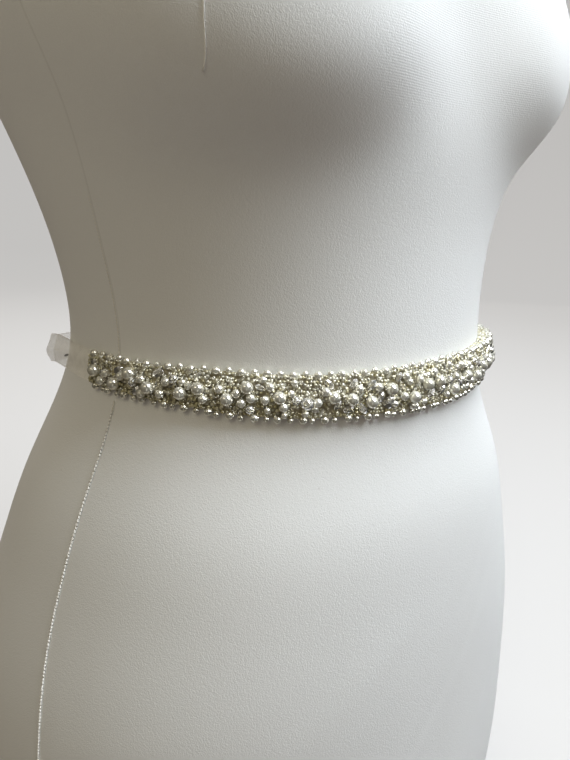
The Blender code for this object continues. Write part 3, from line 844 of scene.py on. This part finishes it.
def make_loose_thread():
    """A fine thread that hangs down the form's front from its shoulder: a tube along a line on the skin,
    point = skin + radius * (normal * (stand + cos) + across * sin)."""
    rings, around = LOOSE_THREAD_GRID
    height = np.linspace(LOOSE_THREAD[0][0], LOOSE_THREAD[-1][0], rings)
    angle = np.radians(smooth_table(LOOSE_THREAD, height)[..., 0])
    line, normal = form_surface(angle, height), form_normal(angle, height)
    across = np.cross(normal, unit(np.gradient(line, axis=0)))
    turn = (np.arange(around) * 2 * math.pi / around)[:, None]
    wall = normal[:, None] * (LOOSE_THREAD_STAND + np.cos(turn)) + across[:, None] * np.sin(turn)
    tube = line[:, None] + LOOSE_THREAD_RADIUS * wall
    rim = np.arange(around) * rings
    faces = [*grid_faces(around, rings, wrap=True)[:, ::-1], rim, rim[::-1] + rings - 1]
    new_piece("loose_thread", to_world(tube.transpose(1, 0, 2)), faces, THREAD, "jersey")


# ---- the beaded strip ----
def bead_layout():
    """Where the large beads sit: distance round the front and height from the strip's middle, in mm,
    and diameter. Random places in a fixed order, each kept if it is clear of the beads before it."""
    random = np.random.default_rng(PEARL_SEED)
    beads = []
    for diameter, tries, share in LARGE_BEADS:
        reach = STRIP_LENGTH / 2 - BEAD_END * diameter - BEAD_JOSTLE
        for row, start in enumerate(np.linspace(-reach, reach, tries), 1):
            place = (row * BEAD_STEP) % 1 * 2 - 1
            distance = start + random.uniform(-BEAD_JOSTLE, BEAD_JOSTLE)
            place = BEAD_ORDER * place + BEAD_SCATTER * random.uniform(-1, 1)
            height = share * half_width(distance) * place
            if all(
                math.hypot(distance - x, height - z) > BEAD_CLEARANCE * (diameter + d) / 2
                for x, z, d in beads
            ):
                beads.append((distance, height, diameter))
    return np.array(beads)


def strew_beads(name, shape, distance, height, depth, frames, sizes, tint, paint, smooth=True):
    """Beads on the strip as one piece, each with its own tint."""
    points, faces = strewn(shape, on_strip(distance, height, depth), frames, sizes)
    tint = np.repeat(tint, len(shape[0]))
    new_piece(name, points, faces, paint, "beads", smooth=smooth, tint=tint)


def make_large_beads(beads):
    """The pearls on the strip's crown, and a few clear balls among them."""
    random = np.random.default_rng(PEARL_TURN_SEED)
    number, large = np.arange(len(beads)), beads[:, 2] > LARGE_FROM
    every, place = CLEAR_MEDIUM
    clear = np.where(large, number == CLEAR_LARGE, number % every == place)
    for name, chosen, paint, grain in (
        ("pearls_large", large & ~clear, PEARL, (28, 18)),
        ("pearls_medium", ~large & ~clear, PEARL, (18, 12)),
        ("glass_balls", clear, GLASS, (14, 9)),
    ):
        distance, height, diameter = beads[chosen].T
        depth = crown_at(distance, height) + BEAD_SINK * diameter / 2
        turn, tilt = (random.uniform(-most, most, len(distance)) for most in (1, 0.4))
        frames = strip_frames(distance, height, turn, tilt)
        tint = random.random(len(distance))
        strew_beads(name, ball(*grain), distance, height, depth, frames, diameter, tint, paint)


def edge_beads():
    """Pearls along the strip's two long edges: distance, height and diameter."""
    random = np.random.default_rng(EDGE_SEED)
    end = STRIP_LENGTH / 2
    rows = []
    for sign, kinds in ((1, EDGE_BEADS_TOP), (-1, EDGE_BEADS_BOTTOM)):
        overhang, loose = EDGE_OVERHANG[sign > 0], EDGE_LOOSE[sign > 0]
        for diameter, spacing, offset in kinds:
            distance = np.arange(-end + EDGE_START + offset, end - EDGE_STOP, spacing)
            distance = distance + random.uniform(-loose, loose, len(distance))
            height = sign * (half_width(distance) + overhang - diameter / 2)
            height += random.uniform(-EDGE_SWAY, EDGE_SWAY, len(distance))
            rows.append(together(distance, height, diameter))
    return np.concatenate(rows)


def make_edge_beads(beads):
    """The pearls along the two edges: bright ones above, and below a darker, more mirror-like copy of the
    pearl finish that paints their shade.
    """
    random = np.random.default_rng(EDGE_TURN_SEED)
    distance, height, diameter = beads.T
    depth = diameter / 2 + random.uniform(0.0, 0.5, len(beads))
    frames = strip_frames(distance, height, random.uniform(-0.3, 0.3, len(beads)))
    tint = random.random(len(beads))
    laid = (distance, height, depth, frames, diameter, tint)
    for name, row, paint in (
        ("pearls_top", height > 0, PEARL),
        ("pearls_bottom", height < 0, EDGE_PEARL_SHADED),
    ):
        strew_beads(name, ball(12, 8), *(values[row] for values in laid), paint)


def make_small_pearls(taken):
    """Small pearls in the larger gaps between the beads laid before them."""
    random = np.random.default_rng(SMALL_PEARL_SEED)
    found = []
    reach = STRIP_LENGTH / 2 - SMALL_PEARL
    for _ in range(SMALL_PEARL_TRIES):
        if len(found) == SMALL_PEARLS:
            break
        distance = random.triangular(-reach, 0.5 * reach, reach)
        height = random.uniform(-SMALL_PEARL_SHARE, SMALL_PEARL_SHARE) * half_width(distance)
        near = np.hypot(distance - taken[:, 0], height - taken[:, 1])
        if np.all(near > SMALL_PEARL_CLEARANCE * (SMALL_PEARL + taken[:, 2]) / 2):
            found.append((distance, height, SMALL_PEARL * random.uniform(0.9, 1.08)))
            taken = np.vstack([taken, found[-1]])
    distance, height, diameter = np.array(found).T
    depth = crown_at(distance, height) + SMALL_PEARL_DEPTH
    frames = strip_frames(distance, height, random.uniform(-1, 1, len(found)))
    tint = random.random(len(found))
    strew_beads("pearls_small", ball(12, 8), distance, height, depth, frames, diameter, tint, PEARL)
    return taken


def free_places(random, tries, wanted, share, size, taken):
    """Places for long beads: distance, height and turn, kept where their middle and both ends are clear
    of the beads taken before."""
    found, taken = [], [tuple(row) for row in taken]
    half_length, half_thick = size[0] / 2, size[1] / 2
    reach = STRIP_LENGTH / 2 - half_length
    for _ in range(tries):
        if len(found) == wanted:
            break
        distance = random.uniform(-reach, reach)
        height = random.uniform(-share, share) * half_width(distance)
        turn = random.choice([-1, 1]) * random.uniform(*LONG_TURN)
        spots = [
            (distance + k * half_length * math.cos(turn), height + k * half_length * math.sin(turn))
            for k in LONG_SPOTS
        ]
        if all(
            math.hypot(x - a, z - b) > LONG_CLEARANCE * (half_thick + d / 2)
            for x, z in spots
            for a, b, d in taken
        ) and all(abs(z) < half_width(x) - half_thick for x, z in spots):
            found.append((distance, height, turn))
            taken.extend((x, z, LONG_TAKEN * half_thick) for x, z in spots)
    return np.array(found), np.array(taken)


def make_long_beads(taken):
    """Clear faceted ovals and silver-lined tubes, laid across the strip at a slant."""
    random = np.random.default_rng(LONG_BEAD_SEED)
    places, taken = free_places(random, CRYSTAL_TRIES, CRYSTALS, CRYSTAL_SHARE, CRYSTAL_SIZE, taken)
    distance, height, turn = places.T
    depth = crown_at(distance, height) + CRYSTAL_DEPTH
    count = len(places)
    roll = random.uniform(0, 1, count)
    frames = strip_frames(distance, height, turn, random.uniform(-0.15, 0.15, count), roll)
    sizes = np.array(CRYSTAL_SIZE) * random.uniform(0.85, 1.1, (count, 1))
    oval = turned(*CRYSTAL_OUTLINE, 8)
    strew_beads("crystals", oval, distance, height, depth, frames, sizes, roll, GLASS, smooth=False)

    places, taken = free_places(random, TUBE_TRIES, TUBES, TUBE_SHARE, TUBE_SIZE, taken)
    distance, height, turn = places.T
    depth = crown_at(distance, height) + TUBE_DEPTH
    count = len(places)
    frames = strip_frames(distance, height, turn, random.uniform(-0.2, 0.2, count))
    sizes = np.array(TUBE_SIZE) * random.uniform(0.8, 1.05, (count, 1))
    tint = random.random(count)
    tube = turned(*TUBE_OUTLINE, 7)
    strew_beads("tube_beads", tube, distance, height, depth, frames, sizes, tint, TUBE, smooth=False)
    return taken


def make_seed_beads(taken):
    """Seed beads over all that is left of the strip: a jostled honeycomb of places, less those that other
    beads cover, and rows that fill its rims and the gap behind its leaning edge."""
    random = np.random.default_rng(SEED_BEAD_SEED)

    def jostled(values, least, most):
        return values + random.uniform(least, most, len(values))

    step = SEED_PITCH * math.sqrt(3) / 2
    rows = np.arange(-int(SEED_REACH / step), int(SEED_REACH / step) + 1)
    columns = np.arange(-STRIP_LENGTH / 2, STRIP_LENGTH / 2, SEED_PITCH)
    distance = jostled((columns[:, None] + rows % 2 * SEED_PITCH / 2).ravel(), -SEED_JOSTLE, SEED_JOSTLE)
    height = jostled(np.tile(rows * step, len(columns)), -SEED_JOSTLE, SEED_JOSTLE)
    half = half_width(distance)
    inside = (height > SEED_INSET[0] - half) & (height < half - SEED_INSET[1])
    inside &= np.abs(distance) < STRIP_LENGTH / 2 - SEED_END
    distance, height = distance[inside], height[inside]
    gaps = np.hypot(distance[:, None] - taken[None, :, 0], height[:, None] - taken[None, :, 1])
    keep = np.all(gaps > taken[None, :, 2] / 2 * SEED_CLEARANCE, axis=1)
    keep &= random.random(len(distance)) > SEED_LOSS
    distance, height = distance[keep], height[keep]
    depth = jostled(crown_at(distance, height) + SEED_DEPTH, *SEED_LEVELS)
    side, layer, along = np.meshgrid([-1, 1], RIM_DEPTHS, columns[1:-1], indexing="ij")
    share, behind = np.meshgrid(RIM_SHARES, columns[1:-1], indexing="ij")
    lean = strip_shape(behind)[..., 2] * share
    filled = lean > RIM_LEAN
    rim = jostled(np.concatenate([along.ravel(), behind[filled]]), -RIM_JOSTLE, RIM_JOSTLE)
    side = np.concatenate([side.ravel(), np.ones(filled.sum())])
    layer = np.concatenate([layer.ravel(), (RIM_DEPTHS[0] - lean)[filled]])
    edge = side * (half_width(rim) - np.where(side > 0, *RIM_INSET[::-1]))
    distance, height = np.concatenate([distance, rim]), np.concatenate([height, edge])
    depth = np.concatenate([depth, jostled(layer, -RIM_SWAY, RIM_SWAY)])
    count = len(distance)
    turn, tilt = random.uniform(0, math.pi, count), random.uniform(-0.9, 0.9, count)
    frames = strip_frames(distance, height, turn, tilt)
    sizes = SEED_SIZE * random.uniform(0.88, 1.18, count)
    # painted shade: seed beads towards the lower edge take more of the deep colour
    low = np.clip(-height / half_width(distance), 0, 1)
    tint = random.random(count) ** SEED_TINT_POWER + SEED_LOW_SHADE * low
    tint = np.clip(tint, 0, SEED_TINT_MOST)
    strew_beads("seed_beads", holed_bead(7, 4), distance, height, depth, frames, sizes, tint, SEED)


def make_net():
    """The backing under the beads: a closed shell whose outside is a lower crown than the strip's."""
    reach = STRIP_LENGTH / 2 - NET_INSET
    distance = np.linspace(-reach, reach, NET_GRID[0])[:, None]
    across = np.linspace(-1, 1, NET_GRID[1])[None, :]
    height = across * (half_width(distance) - NET_INSET)
    wide = distance + 0 * across
    outer = on_strip(wide, height, NET_HEIGHT * crown(across))
    edge = [0, -1]
    inner = on_strip(wide[:, edge], height[:, edge], 0.0)
    loop = np.concatenate([inner[:, :1], outer, inner[:, 1:]], axis=1)
    columns, rows = loop.shape[:2]
    rim = np.arange(rows)
    faces = [*grid_faces(columns, rows, ring=True), rim, (columns - 1) * rows + rim[::-1]]
    flat = together(distance * MM, rim * NET_ROW).reshape(-1, 2)
    uv = flat[np.concatenate([np.ravel(face) for face in faces])]
    backing = new_piece("net_backing", to_world(loop), faces, NET, "beads", uv=uv)
    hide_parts("bead_strip")


# ---- ribbon, knot and tails ----
def cloth_piece(name, points, cloth, turn_over, **marks):
    """A sheet of cloth through a grid of points in mm, whose cloth coordinates are its flat cut, in the
    place of the node of its name. turn_over turns its faces to the other side."""
    if turn_over:
        points, cloth = points[::-1], cloth[::-1]
        marks = {mark: values[::-1] for mark, values in marks.items()}
    faces = grid_faces(*points.shape[:2])
    uv = np.reshape(cloth, (-1, 2))[faces.ravel()]
    sheet = new_piece(name + "_cloth", to_world(points), faces, ORGANZA, "organza", uv=uv, **marks)
    sheet.visible_shadow = False  # sheer cloth passes the light on
    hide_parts(name)
    return sheet


def make_ribbon(name, route, side):
    """The ribbon from under the strip's end to the knot: each edge stands off the form by its own amount,
    with soft pleats between."""
    start = math.degrees(abs(angle_at(STRIP_LENGTH / 2 - RIBBON_TUCK)))
    degrees = np.linspace(start, route[-1][0] + RIBBON_PAST, RIBBON_GRID[0])
    low, high, middle = smooth_table(route, np.clip(degrees, route[0][0], route[-1][0])).T[..., None]
    degrees = degrees[:, None]
    across = np.linspace(0, 1, RIBBON_GRID[1])[None, :]
    depth = low * (1 - across) + high * across + RIBBON_FREE
    depth = depth + low * (CURL_OUT * np.sin(math.pi * across) - CURL_IN * (1 - across) ** 3)
    tucked = 1 - ease(degrees, start, RIBBON_FREE_FROM)
    depth = depth * (1 - tucked) + RIBBON_TUCKED * tucked
    rise, turns, drift = RIBBON_PLEAT
    pleat = rise * np.sin(across * turns + degrees * drift) * (1 - tucked)
    share, *narrowing = RIBBON_GATHER
    width = RIBBON_WIDTH * (1 - share * ease(degrees, *narrowing))
    height = middle + (across - 0.5) * width
    angle = side * np.radians(degrees) + 0 * across
    points = stand_off(angle, height, depth + pleat + RIBBON_CLEAR)
    length = length_along(points[:, RIBBON_GRID[1] // 2])[:, None]
    doubled = 1 - ease(length + 0 * across, HEM_LENGTH - HEM_EDGE, HEM_LENGTH + HEM_EDGE)
    # a painted shadow spot in the hem's gap, on the right ribbon only
    off_along = (length - SLIT_PLACE[0]) / SLIT_SIZE[0]
    off_across = (across * RIBBON_WIDTH - SLIT_PLACE[1]) / SLIT_SIZE[1] + SLIT_TILT * off_along
    slit = (1 - ease(off_along**2 + off_across**2, *SLIT_EDGE)) * (side < 0)
    cloth = together(length * MM, across * RIBBON_WIDTH * MM)
    ribbon = cloth_piece(name, points, cloth, side < 0, double=doubled, slit=slit)


def make_knot():
    """A soft knot: a rounded box, (cos u, sin u)^round * cos(v)^rise and sin(v)^rise, whose surface is
    drawn into slanting folds, 1 + height * sin(number * u + slant * v) * cos(v)."""
    around, rows = KNOT_GRID
    u = np.linspace(0, 2 * math.pi, around, endpoint=False)[:, None]
    v = np.linspace(-1, 1, rows)[None, 1:-1] * math.pi / 2
    wide, deep, high = KNOT_SIZE
    rise, number, slant = KNOT_FOLDS
    folds = 1 + rise * np.sin(number * u + slant * v) * np.cos(v)
    ring = signed_power(np.cos(v), KNOT_RISE)
    body = together(
        signed_power(np.cos(u), KNOT_ROUND) * ring * folds * wide / 2,
        signed_power(np.sin(u), KNOT_ROUND) * ring * folds * deep / 2,
        signed_power(np.sin(v), KNOT_RISE) * high / 2,
    )
    ends = np.array([[0, 0, -high / 2], [0, 0, high / 2]])
    back = form_surface(math.pi, 0.0)
    points = np.concatenate([body.reshape(-1, 3), ends]) + back + np.array([0, KNOT_STAND_OFF, 0])
    columns, rows = body.shape[:2]
    faces = [*grid_faces(columns, rows, wrap=True), *end_fans(columns, rows)]
    uv = np.zeros((sum(len(face) for face in faces), 2))
    marks = {"double": np.ones(len(points)), "slit": np.zeros(len(points))}
    knot = new_piece("ribbon_knot", to_world(points), faces, ORGANZA, "organza", uv=uv, **marks)
    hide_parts("knot")


def make_tail(name, side):
    """A free end of the ribbon down the form's back: gathered at the knot, opening out, with soft waves
    along it and its end cut at a slant."""
    length = TAIL_LENGTH[name]
    share = np.linspace(0, 1, TAIL_GRID[0])[:, None]
    across = np.linspace(0, 1, TAIL_GRID[1])[None, :]
    down = share * (length - TAIL_SLANT * (1 - across)) + 0 * across
    height = -(KNOT_SIZE[2] / 2 - TAIL_TUCK) - down * (1 - TAIL_TAKE_UP / length)
    inner = TAIL_INSET + TAIL_SPREAD * (down / length) ** TAIL_SPREAD_POWER
    opened = ease(down, 0, TAIL_GATHER_LENGTH)
    x = inner + RIBBON_WIDTH * (TAIL_GATHER + (1 - TAIL_GATHER) * opened) * across
    half, power = (spline(column, height) for column in ("side", "squareness"))
    angle = math.pi - side * np.arcsin((x / half) ** (power / 2))
    wave = TAIL_WAVE * (1 - np.cos(2 * math.pi * down / TAIL_WAVE_LENGTH)) / 2
    rise, loss, turns = TAIL_PLEAT
    pleat = rise * (1 - loss * opened) * (1 + np.sin(across * turns))
    rise, turns, drift = TAIL_RIPPLE
    pleat = pleat + rise * np.sin(across * turns + down * drift)
    depth = 2 * GAP + TAIL_STAND + wave + pleat
    points = form_surface(angle, height) + form_normal(angle, height) * depth[..., None]
    cloth = together(down * MM, across * RIBBON_WIDTH * MM)
    plain = np.zeros(points.shape[:2])
    tail = cloth_piece(name, points, cloth, side > 0, double=plain, slit=plain)


# ---- the picture ----
STAGE_FLOOR, STAGE_BEND, STAGE_WALL = 1.9, 0.9, 1.9  # m: flat radius, rounding, height above it
STAGE_DROP = 0.0003  # m that the floor lies under the form
STAGE_RINGS = (0.02, 0.6, 1.2)  # m, of the flat floor
STAGE_GRID = (96, 13)  # points round it and up its rounding
STAGE_FINISH = {
    "Base_Color": (0.30, 0.295, 0.29),
    "Roughness": 0.95,
    "Emission_Color": (1.0, 0.985, 0.965),
    "Emission_Strength": 0.42,
}
LIGHTS = (  # degrees round the form, degrees up, distance, width and height in m, watts, colour, part
    (34, 59, 1.5, 1.1, 1.1, 40.6, (0.85, 0.925, 1.0), "shade"),
    (-75, 40, 1.5, 0.8, 0.8, 3.4, (1.0, 0.93, 0.65), "shade"),
    (155, 40, 1.6, 1.2, 1.2, 9.0, (1.0, 0.97, 0.92), "shade"),
    (5, 51, 1.5, 0.85, 1.3, 56.0, (0.95, 0.97, 1.0), "gloss"),
    (-88, 32, 1.5, 0.9, 0.2, 1.8, (1.0, 0.90, 0.70), "gloss"),
    (-40, 75, 1.6, 2.4, 1.0, 1.6, (1.0, 0.97, 0.90), "gloss"),
    (-115, 20, 1.8, 1.6, 1.8, 1.0, (1.0, 0.90, 0.72), "gloss"),
    (50, 15, 1.8, 1.6, 1.4, 4.5, (1.0, 0.97, 0.92), "gloss"),
    (125, 15, 1.8, 1.8, 1.6, 5.0, (1.0, 0.97, 0.92), "gloss"),
    (-44, -18, 1.5, 0.16, 1.3, 0.7, (1.0, 0.97, 0.90), "gloss"),
)
ROOM = {"Color": (1.0, 0.885, 0.77, 1), "Strength": 0.183}  # the even light that fills the shadows


def put(name, data, *columns):
    """A new object whose matrix has these columns: its three axes, and its place in metres."""
    matrix = np.eye(4)
    matrix[:3] = np.transpose(columns)
    thing = bpy.data.objects.new(name, data)
    thing.matrix_world = Matrix(matrix.tolist())
    bpy.context.scene.collection.objects.link(thing)
    return thing


def pointing(angle, height):
    """The level axis along a circle round the form, and the axis from its middle out and up, by angles
    in radians."""
    along = np.array([math.cos(angle), math.sin(angle), 0.0])
    flat = math.cos(height)
    return along, np.array([math.sin(angle) * flat, -math.cos(angle) * flat, math.sin(height)])


def make_camera():
    """The camera stands round the form and looks down: its axes are the columns of its matrix."""
    spot, aim = math.radians(CAMERA_AZIMUTH), math.radians(CAMERA_AZIMUTH + CAMERA_YAW)
    level, backward = pointing(aim, math.radians(CAMERA_PITCH))
    across, upright = swung(level, np.cross(backward, level), math.radians(CAMERA_ROLL))
    place = CAMERA_DISTANCE * math.sin(spot), -CAMERA_DISTANCE * math.cos(spot), CAMERA_HEIGHT
    data = bpy.data.cameras.new("camera")
    data.sensor_width = SENSOR
    data.lens = CAMERA_FOCUS / max(PICTURE) * SENSOR
    data.clip_start, data.clip_end = CAMERA_CLIP
    camera = put("camera", data, across, upright, backward, to_world(np.array(place)))
    bpy.context.scene.camera = camera


def make_stage():
    """A plain pale floor that curves up into a wall all round: (reach * cos, reach * sin, lift)."""
    sides, bends = STAGE_GRID
    turn = np.linspace(0, math.pi / 2, bends)
    far = STAGE_FLOOR + STAGE_BEND
    reach = np.concatenate([STAGE_RINGS, STAGE_FLOOR + STAGE_BEND * np.sin(turn), [far]])
    lift = np.concatenate([[0, 0, 0], STAGE_BEND * (1 - np.cos(turn)), [STAGE_WALL + STAGE_BEND]])
    angle = np.linspace(0, 2 * math.pi, sides, endpoint=False)[:, None]
    points = together(reach * np.cos(angle), reach * np.sin(angle), lift - STAGE_DROP)
    rows = len(reach)
    faces = [*grid_faces(sides, rows, wrap=True), np.arange(sides) * rows]
    stage = new_object("stage", points, faces, Paint("plain_stage").done(**STAGE_FINISH))
    for seen_by in ("diffuse", "glossy", "shadow", "transmission"):
        setattr(stage, "visible_" + seen_by, False)


def make_lights():
    """Soft area lights that face the middle of the waist: three that light the piece, and panels that only
    glossy things mirror. An even room light fills the shadows."""
    middle = np.array([0, 0, WAIST_HEIGHT * MM])
    for number, (angle, up, distance, width, height, power, colour, part) in enumerate(LIGHTS):
        across, towards = pointing(math.radians(angle), math.radians(up))
        data = bpy.data.lights.new(f"light_{number}", "AREA")
        data.shape, data.size, data.size_y = "RECTANGLE", width, height
        data.energy, data.color = power, colour
        place = middle + towards * distance
        light = put(data.name, data, across, np.cross(towards, across), towards, place)
        light.visible_camera = False
        light.visible_diffuse = part != "gloss"
        light.visible_glossy = light.visible_transmission = part != "shade"
    world = bpy.data.worlds.new("room")
    bpy.context.scene.world = world
    world.use_nodes = True
    world.cycles_visibility.glossy = False
    for socket, value in ROOM.items():
        world.node_tree.nodes["Background"].inputs[socket].default_value = value


make_camera()
make_cover()
make_seam_thread()
make_loose_thread()
make_net()
large = bead_layout()
make_large_beads(large)
edges = edge_beads()
make_edge_beads(edges)
taken = make_small_pearls(np.concatenate([large, edges]))
make_seed_beads(make_long_beads(taken))
make_ribbon("ribbon_right", RIBBON_RIGHT, -1)
make_ribbon("ribbon_left", RIBBON_LEFT, 1)
make_knot()
make_tail("tail_right", -1)
make_tail("tail_left", 1)
make_stage()
make_lights()

bpy.context.scene.view_settings.view_transform = "Standard"
